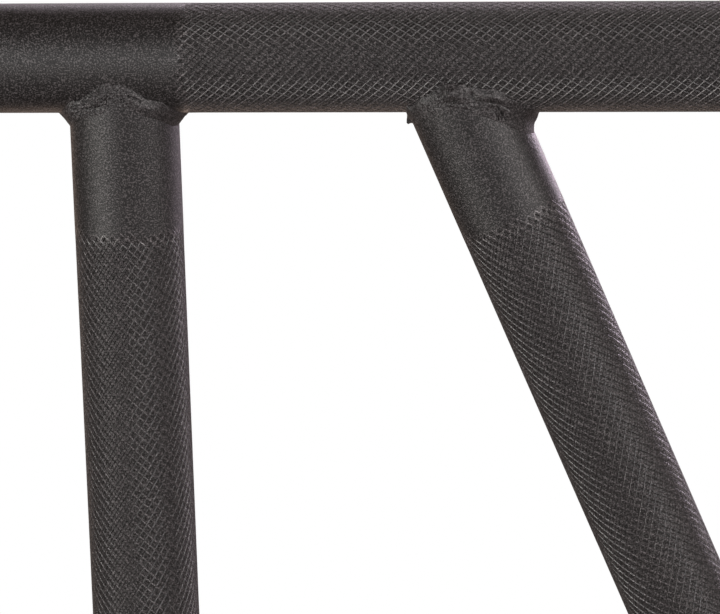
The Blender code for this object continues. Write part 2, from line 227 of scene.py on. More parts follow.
def ring_faces(rows, columns, closed=False):
    """Quads between rings of points laid out one after another.

    The last ring joins the first when closed, or else a face covers each end.
    """
    faces = []
    for i in range(rows if closed else rows - 1):
        a = i * columns
        b = (i + 1) % rows * columns
        for j in range(columns):
            k = (j + 1) % columns
            faces.append((a + j, a + k, b + k, b + j))
    if not closed:
        faces.append(tuple(reversed(range(columns))))
        faces.append(tuple(range((rows - 1) * columns, rows * columns)))
    return faces


def turned_over(faces):
    return [tuple(reversed(face)) for face in faces]


def frame_along(direction):
    """Two unit vectors square to the direction, so that direction = first x second."""
    along = Vector(direction).normalized()
    second = Z if abs(along.z) < 0.9 else X
    first = second.cross(along).normalized()
    return first, along.cross(first), along


def round_axis(first, second, angle):
    """The direction at that angle round an axis, from first towards second."""
    return first * math.cos(angle) + second * math.sin(angle)


def softened(profile, reach):
    """The profile with each inner corner rounded over at most reach."""
    out = [profile[0]]
    for before, corner, after in zip(profile, profile[1:], profile[2:]):
        b, c, a = Vector(before), Vector(corner), Vector(after)
        back, on = (b - c), (a - c)
        r = min(reach, back.length * 0.45, on.length * 0.45)
        start, end = c + back.normalized() * r, c + on.normalized() * r
        for step in range(4):
            t = step / 3
            p = start * (1 - t) ** 2 + c * 2 * t * (1 - t) + end * t * t
            out.append(tuple(p))
    out.append(profile[-1])
    return out


def turned(name, profile, start, direction, finish, nodes=(), body="frame", sides=96,
           sharp_deg=30, closed=False, shape=None):
    """A piece swept round an axis from a profile of (along, radius), which shape can change."""
    first, second, along = frame_along(direction)
    start = Vector(start)
    points = []
    for distance, radius in profile:
        for j in range(sides):
            angle = math.tau * j / sides
            r = radius if shape is None else shape(distance, radius, angle)
            points.append(start + along * distance + round_axis(first, second, angle) * r)
    faces = ring_faces(len(profile), sides, closed)
    make_piece(name, points, faces, finish, nodes, body, sharp_deg)


# ---------------- materials


class Nodes:
    """A node tree, with a few shorthands."""

    def __init__(self, tree):
        self.tree = tree

    def feed(self, target, value):
        """Links a socket to the target, or sets the target to a constant."""
        if isinstance(value, bpy.types.NodeSocket):
            self.tree.links.new(value, target)
        else:
            target.default_value = value

    def feed_all(self, node, inputs):
        for name, value in inputs.items():
            self.feed(node.inputs[name.replace("_", " ")], value)

    def add(self, kind, **inputs):
        node = self.tree.nodes.new(kind)
        self.feed_all(node, inputs)
        return node

    def mix_shaders(self, share, first, second):
        """The first shader where the share is 0, and the second where it is 1."""
        node = self.add("ShaderNodeMixShader", Fac=share)
        self.feed(node.inputs[1], first)
        self.feed(node.inputs[2], second)
        return node.outputs["Shader"]


class Surface(Nodes):
    """Builds one node material."""

    def __init__(self, name):
        self.material = bpy.data.materials.new(name)
        self.material.use_nodes = True
        super().__init__(self.material.node_tree)
        self.shader = self.tree.nodes["Principled BSDF"]
        self.place = self.add("ShaderNodeTexCoord").outputs["Object"]
        self.bumps = None

    def set(self, **inputs):
        self.feed_all(self.shader, inputs)

    def noise(self, size_mm, detail=2.0, roughness=0.5, stretch=None):
        where = self.place
        if stretch is not None:
            where = self.add("ShaderNodeMapping", Vector=where, Scale=stretch).outputs["Vector"]
        return self.add("ShaderNodeTexNoise", Vector=where, Scale=1 / (size_mm * MM),
                        Detail=detail, Roughness=roughness).outputs["Fac"]

    def ramp(self, value, *stops):
        """A colour for each value, from stops of (value, colour)."""
        node = self.add("ShaderNodeValToRGB", Fac=value)
        elements = node.color_ramp.elements
        for at, _ in stops[2:]:
            elements.new(at)
        for element, (at, colour) in zip(elements, stops):
            element.position = at
            element.color = (*colour, 1)
        return node.outputs["Color"]

    def between(self, value, dark, pale):
        """A colour from dark to pale over a noise's middle range."""
        return self.ramp(value, (0.3, dark), (0.7, pale))

    def spread(self, value, low, high):
        """A noise's middle range turned into the range from low to high."""
        return self.add("ShaderNodeMapRange", Value=value, From_Min=0.3, From_Max=0.7,
                        To_Min=low, To_Max=high).outputs["Result"]

    def bump(self, height, depth_mm, strength=1.0):
        node = self.add("ShaderNodeBump", Height=height, Distance=depth_mm * MM, Strength=strength)
        if self.bumps is not None:
            self.feed(node.inputs["Normal"], self.bumps)
        self.bumps = node.outputs["Normal"]
        self.set(Normal=self.bumps)

    def number(self, operation, first, second=None, clamp=False):
        """The result of one math operation on sockets or numbers."""
        node = self.add("ShaderNodeMath")
        node.operation = operation
        node.use_clamp = clamp
        self.feed(node.inputs[0], first)
        if second is not None:
            self.feed(node.inputs[1], second)
        return node.outputs["Value"]

    def mix_colours(self, share, first, second, kind="MIX"):
        node = self.add("ShaderNodeMixRGB", Fac=share, Color1=first, Color2=second)
        node.blend_type = kind
        return node.outputs["Color"]


def powder_coat(name, grain_mm=0.16, dull=0.54, bright=0.34, tones=(0.0018, 0.0145, 0.092)):
    """Black textured powder coat: a fine grain whose colour is painted paler on its tops, as highlight, and
    darker in its pits, as shade.
    """
    s = Surface(name)
    # The colour ramp follows nearly the same noise as the bump below: painted highlight on the grain's tops,
    # painted shade in its pits.
    tone = s.noise(0.47, detail=2, roughness=0.6)
    stops = [(at, (grey, grey * 0.925, grey * 0.945)) for at, grey in zip((0.36, 0.5, 0.65), tones)]
    drift = s.between(s.noise(28, detail=3), (0.75, 0.75, 0.76), (1, 1, 1))
    s.set(Base_Color=s.mix_colours(0.6, s.ramp(tone, *stops), drift, "MULTIPLY"),
          Roughness=s.spread(tone, dull, bright))
    s.bump(s.noise(0.47, detail=2, roughness=0.55), grain_mm)
    return s


def crest_coat():
    """The coat on the tops of the knurl, painted darker than the plain coat as shade, with the shallow second
    track that crosses each of them, painted pale along one family as a highlight line.
    """
    s = powder_coat("grip_crests_painted_shade_and_highlight", tones=(0.0007, 0.0065, 0.095))
    place = s.add("ShaderNodeUVMap")
    place.uv_map = "knurl"
    parts = s.add("ShaderNodeSeparateXYZ", Vector=place.outputs["UV"])
    tracks = []
    for axis, half_width in (("X", 0.10), ("Y", 0.08)):
        across = s.number("FRACT", parts.outputs[axis])
        away = s.number("ABSOLUTE", s.number("SUBTRACT", across, 0.5))
        share = s.number("DIVIDE", away, half_width)
        tracks.append(s.number("SUBTRACT", 1.0, share, clamp=True))
    plain = s.shader.inputs["Base Color"].links[0].from_socket
    # The pale colour mixed along one family's track is a painted highlight line, standing for the lit side of
    # a groove.
    painted_highlight_track = s.mix_colours(s.number("MULTIPLY", tracks[0], 0.42), plain, (0.10, 0.094, 0.095, 1))
    s.set(Base_Color=painted_highlight_track, Specular_IOR_Level=0.47)
    s.bump(s.number("SUBTRACT", 1.0, s.number("MAXIMUM", *tracks)), 0.38)
    return s


def coat_finish(*surfaces):
    return [s.material for s in surfaces], COAT_SLOT


def zinc():
    """Bright zinc plate: fine rolled grain, cloudy passivation, and a faint yellow-blue drift."""
    s = Surface("zinc_plate")
    cloud = s.noise(4.5, detail=4, roughness=0.6)
    s.set(Base_Color=s.ramp(cloud, (0.3, (0.52, 0.53, 0.54)), (0.55, (0.64, 0.64, 0.62)),
                            (0.75, (0.70, 0.72, 0.75))),
          Roughness=s.spread(s.noise(1.4, detail=3), 0.26, 0.42), Metallic=1.0)
    s.bump(s.noise(0.5, detail=2), 0.012, 0.6)
    return [s.material], "zinc_steel"


def chrome():
    """Hard chrome on a ground pin: rings left by the grinding wheel and light wear."""
    s = Surface("hard_chrome")
    rings = s.noise(1.0, detail=3, stretch=(9, 0.6, 0.6))
    s.set(Base_Color=s.between(rings, (0.72, 0.73, 0.75), (0.83, 0.83, 0.84)),
          Roughness=s.spread(s.noise(3, detail=3), 0.09, 0.2), Metallic=1.0)
    s.bump(rings, 0.006, 0.4)
    return [s.material], "chromed_steel"


def spring_steel():
    s = Surface("drawn_spring_wire")
    grain = s.noise(0.6, detail=3)
    s.set(Base_Color=s.between(grain, (0.22, 0.22, 0.24), (0.38, 0.37, 0.36)),
          Roughness=s.spread(grain, 0.25, 0.42), Metallic=1.0)
    return [s.material], "spring_steel"


def moulded_plastic():
    """Black moulded nylon with a fine spark-eroded texture."""
    s = Surface("moulded_nylon")
    tone = s.noise(6, detail=4)
    s.set(Base_Color=s.between(tone, (0.014, 0.014, 0.015), (0.026, 0.026, 0.028)),
          Roughness=s.spread(s.noise(0.6, detail=2), 0.38, 0.52))
    s.bump(s.noise(0.45, detail=2), 0.03, 0.5)
    return [s.material], "black_plastic"


def liner_plastic():
    """Milled polyethylene: long shallow cutter marks and a waxy sheen."""
    s = Surface("liner_polyethylene")
    marks = s.noise(2.0, detail=3, stretch=(0.6, 0.6, 6))
    s.set(Base_Color=s.between(marks, (0.040, 0.040, 0.044), (0.066, 0.066, 0.071)),
          Roughness=s.spread(s.noise(5, detail=3), 0.48, 0.62))
    s.bump(marks, 0.02, 0.5)
    return [s.material], "liner_plastic"


# ---------------- knurled tubes


def lattice_place(a, b):
    """Angle and distance along the tube where knurl lines a and b cross."""
    run = 1 / (1 / (STARTS_A * PITCH_A) + 1 / (STARTS_B * PITCH_B))
    along = (a / STARTS_A - b / STARTS_B) * run
    return math.tau * (a - along / PITCH_A) / STARTS_A, along


def knurl_cells(grip):
    """Lattice cells whose middle lies in the grip, one row for each cell."""
    _, per_b = lattice_place(0, 1)
    cells = []
    for k in range(STARTS_A):
        _, at_zero = lattice_place(k + 0.5, 0.5)
        reach = sorted(((grip[0] - at_zero) / per_b, (grip[1] - at_zero) / per_b))
        cells += [(k, m) for m in range(math.ceil(reach[0]), math.floor(reach[1]) + 1)]
    return np.array(cells)


def steady(value):
    """A function as it is, or a number as the function that always gives it."""
    return value if callable(value) else lambda _: value


def flank_quads(outer, inner):
    """The four quads between the outer and the inner corners of each cell, side by side."""
    sides = []
    for i in range(4):
        j = (i + 1) % 4
        sides.append(np.stack([outer[:, i], outer[:, j], inner[:, j], inner[:, i]], axis=1))
    return np.concatenate(sides)


def grip_outlines(groove, along):
    """The two loops of points that end the grip: the cell edges that no second cell shares."""
    edges = np.concatenate([groove[:, [i, (i + 1) % 4]] for i in range(4)])
    there = set(map(tuple, edges.tolist()))
    follows = {a: b for a, b in there if (b, a) not in there}
    loops = []
    while follows:
        at = min(follows)
        loop = []
        while at in follows:
            loop.append(at)
            at = follows.pop(at)
        loops.append(loop)
    return sorted(loops, key=lambda loop: along[loop].mean())


def knurled_tube(name, start, direction, radius, grip, ends, finish, nodes):
    """A tube with one knurled grip between two plain lengths.

    ends say where the tube stops, each as a number or a function of the radial direction.
    """
    cells = knurl_cells(grip)
    corner_steps = np.array([(0, 0), (1, 0), (1, 1), (0, 1)])
    inset = np.where(corner_steps == 0, GROOVE_SHARE, 1 - GROOVE_SHARE)
    groove_place = cells[:, None, :] + corner_steps[None]
    crest_place = cells[:, None, :] + inset[None]
    lattice = groove_place.reshape(-1, 2).copy()
    turns = lattice[:, 0] // STARTS_A
    lattice[:, 0] -= turns * STARTS_A
    lattice[:, 1] -= turns * STARTS_B
    crossings, index = np.unique(lattice, axis=0, return_inverse=True)
    groove = index.reshape(-1, 4)
    crest = len(crossings) + np.arange(len(cells) * 4).reshape(-1, 4)

    lines = np.concatenate([crossings, crest_place.reshape(-1, 2)]).astype(float)
    angle, along = lattice_place(lines[:, 0], lines[:, 1])
    inside = np.minimum(along - grip[0], grip[1] - along)
    run_out = np.clip((inside - RUN_OUT_START) / RUN_OUT, 0, 1)
    height = np.where(np.arange(len(lines)) < len(crossings), -GROOVE, CREST) * run_out
    first, second, axis = (np.array(v) for v in frame_along(direction))
    start = np.array(start, float)
    outward = np.cos(angle)[:, None] * first + np.sin(angle)[:, None] * second
    points = start + axis * along[:, None] + outward * (radius + height)[:, None]

    # Plain sleeves from the grip's two outlines to the tube's ends
    sleeve_points, sleeve_outward, sleeve_faces, caps = [], [], [], []
    for loop, end in zip(grip_outlines(groove, along), map(steady, ends)):
        ring = [len(points) + len(sleeve_points) + i for i in range(len(loop))]
        for i, vertex in enumerate(loop):
            j = (i + 1) % len(loop)
            reach = end(outward[vertex])
            sleeve_points.append(start + axis * reach + outward[vertex] * radius)
            sleeve_outward.append(outward[vertex])
            sleeve_faces.append((loop[j], vertex, ring[i], ring[j]))
        caps.append(list(reversed(ring)))
    points = np.concatenate([points, sleeve_points])
    outward = np.concatenate([outward, sleeve_outward])
    quads = np.concatenate([crest, flank_quads(groove, crest), np.array(sleeve_faces)])
    place = np.concatenate([crest_place, flank_quads(groove_place, crest_place)])

    # Radial normals but on the flanks, which tilt towards their own faces
    corners = points[quads]
    face_normal = np.cross(corners[:, 2] - corners[:, 0], corners[:, 3] - corners[:, 1])
    face_normal /= np.linalg.norm(face_normal, axis=1)[:, None]
    tilt = np.array(FLANK_TILT)
    if (face_normal[: len(cells)] * outward[quads[: len(cells), 0]]).sum() < 0:
        quads, place, tilt = quads[:, ::-1], place[:, ::-1], tilt[::-1]
        face_normal = -face_normal
        caps = [list(reversed(cap)) for cap in caps]
    tilt = tilt[None, :, None]
    radial = outward[quads]
    corner_normals = radial.copy()
    flanks = slice(len(cells), len(cells) * 5)
    corner_normals[flanks] = (1 - tilt) * radial[flanks] + tilt * face_normal[flanks][:, None, :]
    corner_normals /= np.linalg.norm(corner_normals, axis=2)[:, :, None]
    normals = [tuple(n) for n in corner_normals.reshape(-1, 3)]
    for cap, sign in zip(caps, (-1, 1)):
        normals += [tuple(axis * sign)] * len(cap)

    rest = len(sleeve_faces) * 4 + sum(len(cap) for cap in caps)
    lattice = np.concatenate([place.reshape(-1), np.zeros(rest * 2)])
    # Flanks get the paler coats of painted highlight, family A paler than family B.
    kinds = np.full(len(quads) + len(caps), CREST_COAT, np.int32)
    for i, kind in enumerate((FLANK_B_COAT, FLANK_A_COAT, FLANK_B_COAT, FLANK_A_COAT)):
        kinds[len(cells) * (i + 1) : len(cells) * (i + 2)] = kind
    make_piece(name, points, quads.tolist() + caps, finish, nodes,
               normals=normals, kinds=kinds, lattice=lattice)


# ---------------- weld beads


def smooth_curve(*stops):
    """A smooth function through a few (place, value) stops in rising order."""

    def value(at):
        if at <= stops[0][0]:
            return stops[0][1]
        for (a, low), (b, high) in zip(stops, stops[1:]):
            if at <= b:
                t = (at - a) / (b - a)
                return low + (high - low) * t * t * (3 - 2 * t)
        return stops[-1][1]

    return value


def rumple(p, shift, *waves):
    """The sum at p of noises given as (waves in a mm, height)."""
    return sum(noise.noise(p * often + shift) * height for often, height in waves)


def bead(name, rows, finish, nodes=(), crown=0.5, hollow=0.0, seed=0, closed=True, rough=1.0,
         waves=1.0, lumps=(), cracks=(), across=18):
    """A weld bead laid between two toe lines.

    rows are (toe_a, normal_a, toe_b, normal_b, root) for each step along the weld. Lumps are
    (step share, across share, step reach, across reach, height in mm), and cracks are
    (from share, to share, from across, to across, width, depth in mm). Crown is a height
    in mm, hollow pulls the face in towards the root, and rough and waves scale the fine and
    the coarse unevenness. Each of these four is a number or a function of the step share.
    """
    crown, hollow, rough, waves = map(steady, (crown, hollow, rough, waves))
    count = len(rows)
    shift = Vector((seed * 17.3, seed * 5.1, seed * 9.7))

    def lift(share, s, p):
        """How far the face stands out at share s of the way across, in mm."""
        arch = 2.12 * s**0.6 * (1 - s) ** 1.3
        body = min(1.0, 5 * s, 5 * (1 - s))
        swell = rumple(p, shift, (0.4, 0.24), (0.9, 0.16))
        wrinkles = rumple(p, shift, (1.9, 0.16), (3.6, 0.1))
        out = crown(share) * arch + (swell * waves(share) + wrinkles * rough(share)) * body
        for at, over, reach, wide, high in lumps:
            away = (share - at + 0.5) % 1.0 - 0.5
            out += body * high * math.exp(-((away / reach) ** 2) - ((s - over) / wide) ** 2)
        for at, until, over, under, wide, deep in cracks:
            t = (share - at) / (until - at)
            if -0.1 < t < 1.1:
                fade = min(1.0, 10 * min(t + 0.1, 1.1 - t))
                out -= deep * fade * math.exp(-(((s - over - (under - over) * t) / wide) ** 2))
        return out

    points = []
    for i, (toe_a, normal_a, toe_b, normal_b, root) in enumerate(rows):
        share = i / count
        taper = 1.0
        if not closed:
            taper = min(1.0, math.sqrt(min(i, count - 1 - i) / 6))
        middle = (normal_a + normal_b).normalized()
        slope = (toe_b - toe_a).normalized()
        start = toe_a + slope * noise.noise(toe_a * 0.35 + shift) * 0.5 - normal_a * 0.06
        stop = toe_b + slope * noise.noise(toe_b * 0.35 - shift) * 0.5 - normal_b * 0.04
        if taper < 1.0:
            start, stop = root.lerp(start, taper), root.lerp(stop, taper)
        for j in range(across + 1):
            s = j / across
            p = start.lerp(stop, s)
            p = p.lerp(root, 2 * s * (1 - s) * hollow(share))
            points.append(p + middle * lift(share, s, p) * taper)
        points.append(stop - normal_b * 0.5)
        points.append(root - middle * 0.9)
        points.append(start - normal_a * 0.5)
    faces = ring_faces(count, across + 4, closed)
    toe_a, _, toe_b, _, root = rows[count // 3]
    toe_next = rows[count // 3 + 1][0]
    if (toe_b - toe_a).cross(toe_next - toe_a).dot((toe_a + toe_b) / 2 - root) > 0:
        faces = turned_over(faces)
    make_piece(name, points, faces, finish, nodes, sharp_deg=60)


class Joint:
    """Where a handle meets a rail, with u along the handle from the rail's axis."""

    def __init__(self, centre, direction, radius):
        self.centre = Vector(centre)
        self.along = Vector(direction).normalized()
        self.towards = 1 if self.along.y > 0 else -1
        self.aside = self.along.cross(Z) * self.towards
        self.radius = radius
        self.lean = self.along.x / abs(self.along.y)

    def root_reach(self, share, height):
        """u where the handle's line in that direction meets the rail.

        The direction is given by its share along the rail and its height.
        """
        gap = math.sqrt(max(0.0, TUBE_R**2 - (self.radius * height) ** 2))
        return (gap - self.radius * share * self.aside.y * self.towards) / abs(self.along.y)

    def handle_toe(self, share, height, leg=HANDLE_LEG):
        return self.root_reach(share, height) + leg + SIDE_RISE * abs(height) ** 6

    def tube_end(self, outward):
        outward = Vector(outward)
        share, height = outward.dot(self.aside), outward.dot(Z)
        return max(self.root_reach(share, height) + TUBE_CLEAR,
                   self.handle_toe(share, height) - UNDER_BEAD)


def plain_roof(share):
    return 3.8 + 4.0 * abs(share) + 8.2 * share * share


def joint_rows(joint, roof, rail_leg, handle_leg, steps):
    """Rows for a bead round a handle, its rail toe roof(share) off the rail's axis."""
    rows = []
    for i in range(steps):
        angle = math.tau * i / steps
        outward = round_axis(joint.aside, Z, angle)
        share, height = math.cos(angle), math.sin(angle)
        root_u = joint.root_reach(share, height)
        root = joint.centre + joint.along * root_u + outward * joint.radius
        toe_u = joint.handle_toe(share, height, handle_leg(share))
        toe_b = joint.centre + joint.along * toe_u + outward * joint.radius
        off = min(TUBE_R, roof(share) if height < 0 else plain_roof(share))
        x = off * joint.lean + joint.radius * share * math.hypot(1, joint.lean) + rail_leg(share) * share
        drop = math.copysign(math.sqrt(TUBE_R**2 - off**2), height)
        normal_a = Vector((0, off * joint.towards, drop)) / TUBE_R
        toe_a = joint.centre + X * x + normal_a * TUBE_R
        rows.append((toe_a, normal_a, toe_b, outward, root))
    return rows


def ring_rows(centre, direction, inner, outer, steps):
    """Rows for a fillet between a tube of radius inner and a flat face square to it."""
    first, second, along = frame_along(direction)
    leg = outer - inner
    rows = []
    for i in range(steps):
        angle = math.tau * i / steps
        outward = round_axis(first, second, angle)
        root = Vector(centre) + outward * inner
        rows.append((root + outward * leg, along, root + along * leg, outward, root))
    return rows


def line_rows(start, stop, normal_a, normal_b, leg, step=0.55):
    """Rows for a straight fillet in the corner between two faces with those normals."""
    start, stop = Vector(start), Vector(stop)
    count = max(12, int((stop - start).length / step))
    rows = []
    for i in range(count):
        root = start.lerp(stop, i / (count - 1))
        rows.append((root + normal_b * leg, normal_a, root + normal_a * leg, normal_b, root))
    return rows


# ---------------- ladder of grips


def handle_line(kind, side):
    """Front rail crossing, direction, length between the rails' axes, and radius."""
    if kind == "outer":
        return Vector((side * OUTER_X, FRONT_Y, 0)), Vector(Y), REAR_Y - FRONT_Y, TUBE_R
    lean = Vector((-side * math.sin(INNER_LEAN), math.cos(INNER_LEAN), 0))
    return Vector((side * INNER_FRONT_X, FRONT_Y, 0)), lean, (REAR_Y - FRONT_Y) / lean.y, ANGLED_R


def rails(coat, grip_coats):
    front = (0, FRONT_Y, 0)
    knurled_tube("front_rail_grip", front, X, TUBE_R, (-RAIL_GRIP_X, RAIL_GRIP_X),
                 (-RAIL_SEAM_X, RAIL_SEAM_X), grip_coats, ["front_rail"])
    for hand, side in SIDES:
        grip = sorted(side * x for x in WIDE_GRIP_X)
        stop = sorted((side * RAIL_SEAM_X, side * RAIL_END_X))
        knurled_tube(f"front_rail_wide_grip_{hand}", front, X, TUBE_R, grip, stop, grip_coats,
                     ["front_rail"])
    turned("rear_rail_tube", [(0, TUBE_R), (2 * RAIL_END_X, TUBE_R)], (-RAIL_END_X, REAR_Y, 0), X,
           coat, ["rear_rail"], sharp_deg=40)


def handles(coat, grip_coats, draw):
    for kind in ("outer", "inner"):
        for hand, side in SIDES:
            start, along, length, radius = handle_line(kind, side)
            front = Joint(start, along, radius)
            rear = Joint(start + along * length, -along, radius)
            knurled_tube(f"{kind}_grip_{hand}", start, along, radius, HANDLE_GRIP,
                         (front.tube_end, lambda outward, j=rear, n=length: n - j.tube_end(outward)),
                         grip_coats, [f"{kind}_handle_{hand}"])
            for end, joint in zip(ENDS, (front, rear)):
                handle_weld(kind, hand, end, joint, coat, draw)


def handle_weld(kind, hand, end, joint, coat, draw):
    """A bead with drawn lumps and cracks, or with those of LEFT_FRONT_WELDS."""
    node = f"weld_{kind}_{hand}_{end}"
    seed = draw.uniform(0, 40)
    leg_low, leg_high = draw.uniform(3.5, 4.2), draw.uniform(3.8, 4.6)
    look = {"roof": plain_roof, "rough": 0.9, "hollow": 0.45, "lumps": [], "cracks": [],
            "rail_leg": smooth_curve((-1, leg_low), (1, leg_high)), "handle_leg": steady(HANDLE_LEG)}
    for _ in range(6):
        look["lumps"].append((draw.random(), draw.uniform(0.2, 0.6), draw.uniform(0.015, 0.04),
                              draw.uniform(0.15, 0.3), draw.uniform(-0.3, 0.45)))
    for _ in range(4):
        at = draw.random()
        look["cracks"].append((at, at + draw.uniform(0.02, 0.05), draw.uniform(0.2, 0.7),
                               draw.uniform(0.2, 0.7), 0.05, draw.uniform(0.2, 0.4)))
    steps, across = 400, 24
    if end == "front" and hand == "left":
        look.update(LEFT_FRONT_WELDS[kind])
        steps, across = 560, 34
    rows = joint_rows(joint, look["roof"], look["rail_leg"], look["handle_leg"], steps)
    bead(node + "_bead", rows, coat, [node], seed=seed, rough=look["rough"],
         crown=lambda share: 0.1 + 0.8 * math.sin(math.tau * share) ** 2,
         hollow=lambda share: look["hollow"] * math.cos(math.tau * share) ** 2,
         waves=lambda share: 0.25 + 0.75 * math.sin(math.tau * share) ** 2,
         lumps=look["lumps"], cracks=look["cracks"], across=across)


# The two beads nearest the user's left hand, given one by one. Shares of the way round start at
# the right and reach the underside at three quarters.
LEFT_FRONT_WELDS = {
    "outer": {
        "roof": smooth_curve((-1, 16), (-0.62, 9.8), (-0.08, 3.8), (0.08, 4.2), (0.6, 10.0), (1, 16)),
        "rail_leg": smooth_curve((-1, 3.7), (1, 3.6)),
        "handle_leg": smooth_curve((-1, 4.0), (-0.6, 3.8), (-0.1, 4.6), (0.3, 4.0), (1, 4.0)),
        "hollow": 0.2,
        "rough": smooth_curve((0.58, 0.5), (0.65, 3.0), (0.77, 3.0), (0.80, 0.6)),
        "lumps": [(0.725, 0.30, 0.03, 0.25, 0.6), (0.76, 0.6, 0.02, 0.3, -0.25),
                  (0.68, 0.4, 0.03, 0.3, 0.5), (0.80, 0.45, 0.015, 0.2, 0.3), (0.84, 0.5, 0.02, 0.25, 0.3)],
        "cracks": [(0.785, 0.815, 0.32, 0.25, 0.05, 0.6), (0.676, 0.718, 0.55, 0.75, 0.05, 0.45),
                   (0.77, 0.90, 0.95, 0.95, 0.03, 0.12), (0.765, 0.79, 0.3, 0.8, 0.05, 0.35)],
    },
    "inner": {
        "roof": smooth_curve((-1, 16), (-0.75, 12.5), (-0.35, 8.5), (-0.14, 6.5), (0.05, 4.2),
                             (0.25, 4.2), (0.32, 6.0), (0.38, 5.6), (0.62, 5.8), (0.8, 9.5),
                             (0.9, 12.6), (1, 16)),
        "rail_leg": smooth_curve((-1, 1.0), (-0.5, 3.6), (0.5, 4.4), (1, 4.6)),
        "handle_leg": smooth_curve((-1, 4.0), (0.3, 4.0), (1, 7.0)),
        "rough": smooth_curve((0.66, 0.6), (0.71, 2.2), (0.79, 2.2), (0.81, 0.7)),
        "lumps": [(0.757, 0.28, 0.024, 0.3, 1.5), (0.803, 0.3, 0.009, 0.3, -0.7),
                  (0.85, 0.2, 0.025, 0.2, 1.1), (0.504, 0.7, 0.014, 0.3, 1.9), (0.0, 0.4, 0.03, 0.3, 0.5)],
        "cracks": [(0.812, 0.89, 0.50, 0.36, 0.05, 0.5), (0.86, 0.877, 0.5, 0.85, 0.05, 0.5),
                   (0.845, 0.857, 0.6, 0.9, 0.05, 0.35)],
    },
}


def rail_welds(coat, draw):
    for hand, side in SIDES:
        for end, y in zip(ENDS, (FRONT_Y, REAR_Y)):
            node = f"weld_rail_{hand}_{end}"
            rows = ring_rows((side * RAIL_WELD_X, y, 0), -side * X, TUBE_R + 0.1, TUBE_R + 6.0, 300)
            bead(node + "_bead", rows, coat, [node], crown=0.35, seed=draw.uniform(0, 40),
                 rough=0.7, across=16)


# ---------------- plates and arms


def rounded_outline(corners, radii, steps=8):
    """A closed outline with an arc at each corner."""
    out = []
    count = len(corners)
    for i, (corner, radius) in enumerate(zip(corners, radii)):
        c = Vector(corner)
        back = Vector(corners[i - 1]) - c
        on = Vector(corners[(i + 1) % count]) - c
        half = back.angle(on) / 2
        reach = radius / math.tan(half)
        middle = c + (back.normalized() + on.normalized()).normalized() * radius / math.sin(half)
        start = c + back.normalized() * reach - middle
        turn = math.pi - 2 * half
        if back.x * on.y - back.y * on.x > 0:
            turn = -turn
        for k in range(steps + 1):
            a = turn * k / steps
            out.append(middle + Vector((start.x * math.cos(a) - start.y * math.sin(a),
                                        start.x * math.sin(a) + start.y * math.cos(a))))
    return out


def box_outline(low, high, radius, steps=8):
    corners = [(low[0], low[1]), (high[0], low[1]), (high[0], high[1]), (low[0], high[1])]
    return rounded_outline(corners, [radius] * 4, steps)


def arm_outline():
    return box_outline((-ARM_HALF, -ARM_HALF), (ARM_HALF, ARM_HALF), ARM_CORNER, steps=6)


def moved_in(outline, distance):
    """The outline with each point moved inwards, for one that runs anticlockwise."""
    out = []
    for i, p in enumerate(outline):
        before, after = outline[i - 1], outline[(i + 1) % len(outline)]
        along = (p - before).normalized() + (after - p).normalized()
        if along.length < 1e-6:
            along = after - before
        along.normalize()
        out.append(p + Vector((-along.y, along.x)) * distance)
    return out


def slab(node, suffix, outline, thickness, soft, place, finish):
    """A plate with its edges rounded over soft, for a CAD node.

    place turns an outline point and a height into a place in space.
    """
    area = sum(a.x * b.y - b.x * a.y for a, b in zip(outline, outline[1:] + outline[:1]))
    if area < 0:
        outline = list(reversed(outline))
    loops = []
    for k in range(5):
        a = math.pi / 2 * k / 4
        loops.append((soft * (1 - math.sin(a)), soft * (1 - math.cos(a))))
    loops += [(inset, thickness - height) for inset, height in reversed(loops)]
    points = []
    for inset, height in loops:
        points += [Vector(place(p, height)) for p in moved_in(outline, inset)]
    faces = ring_faces(len(loops), len(outline))
    origin = Vector(place(Vector((0, 0)), 0))
    across, upwards, out = (Vector(place(Vector(p), height)) - origin
                            for p, height in (((1, 0), 0), ((0, 1), 0), ((0, 0), 1)))
    if across.cross(upwards).dot(out) < 0:
        faces = turned_over(faces)
    make_piece(f"{node}_{suffix}", points, faces, finish, [node], sharp_deg=35)


def end_plate(hand, side, coat):
    outline = box_outline((PLATE_Y[0], -PLATE_HALF_Z), (PLATE_Y[1], PLATE_HALF_Z), PLATE_CORNER)
    slab(f"end_plate_{hand}", "flange", outline, PLATE_X[1] - PLATE_X[0], 0.9,
         lambda p, h: (side * (PLATE_X[0] + h), p.x, p.y), coat)


def side_arm(hand, side, coat, plastic):
    centre = side * ARM_X
    slab(f"side_arm_{hand}", "tube", arm_outline(), ARM_REAR_Y - ARM_FRONT_Y, 0.5,
         lambda p, h: (centre + p.x, ARM_FRONT_Y + h, p.y), coat)
    slab(f"arm_cap_{hand}", "moulding", arm_outline(), CAP_Y[1] - CAP_Y[0], 1.3,
         lambda p, h: (centre + p.x, CAP_Y[0] + h, p.y), plastic)


def gussets(hand, side, coat):
    corners = [(GUSSET_REAR_Y, GUSSET_TOP_Z), (GUSSET_FRONT_Y, GUSSET_TOP_Z),
               (GUSSET_FRONT_Y, GUSSET_TOP_Z - 8), (GUSSET_REAR_Y - 15, GUSSET_LOW_Z),
               (GUSSET_REAR_Y, GUSSET_LOW_Z)]
    outline = rounded_outline(corners, [0.6, 2, 4, 4, 2], steps=5)
    for where, offset in GUSSETS:
        near = side * (ARM_X + offset) - GUSSET_HALF
        slab(f"gusset_{hand}_{where}", "plate", outline, 2 * GUSSET_HALF, 0.6,
             lambda p, h: (near + h, p.x, p.y), coat)


# ---------------- saddles and liners


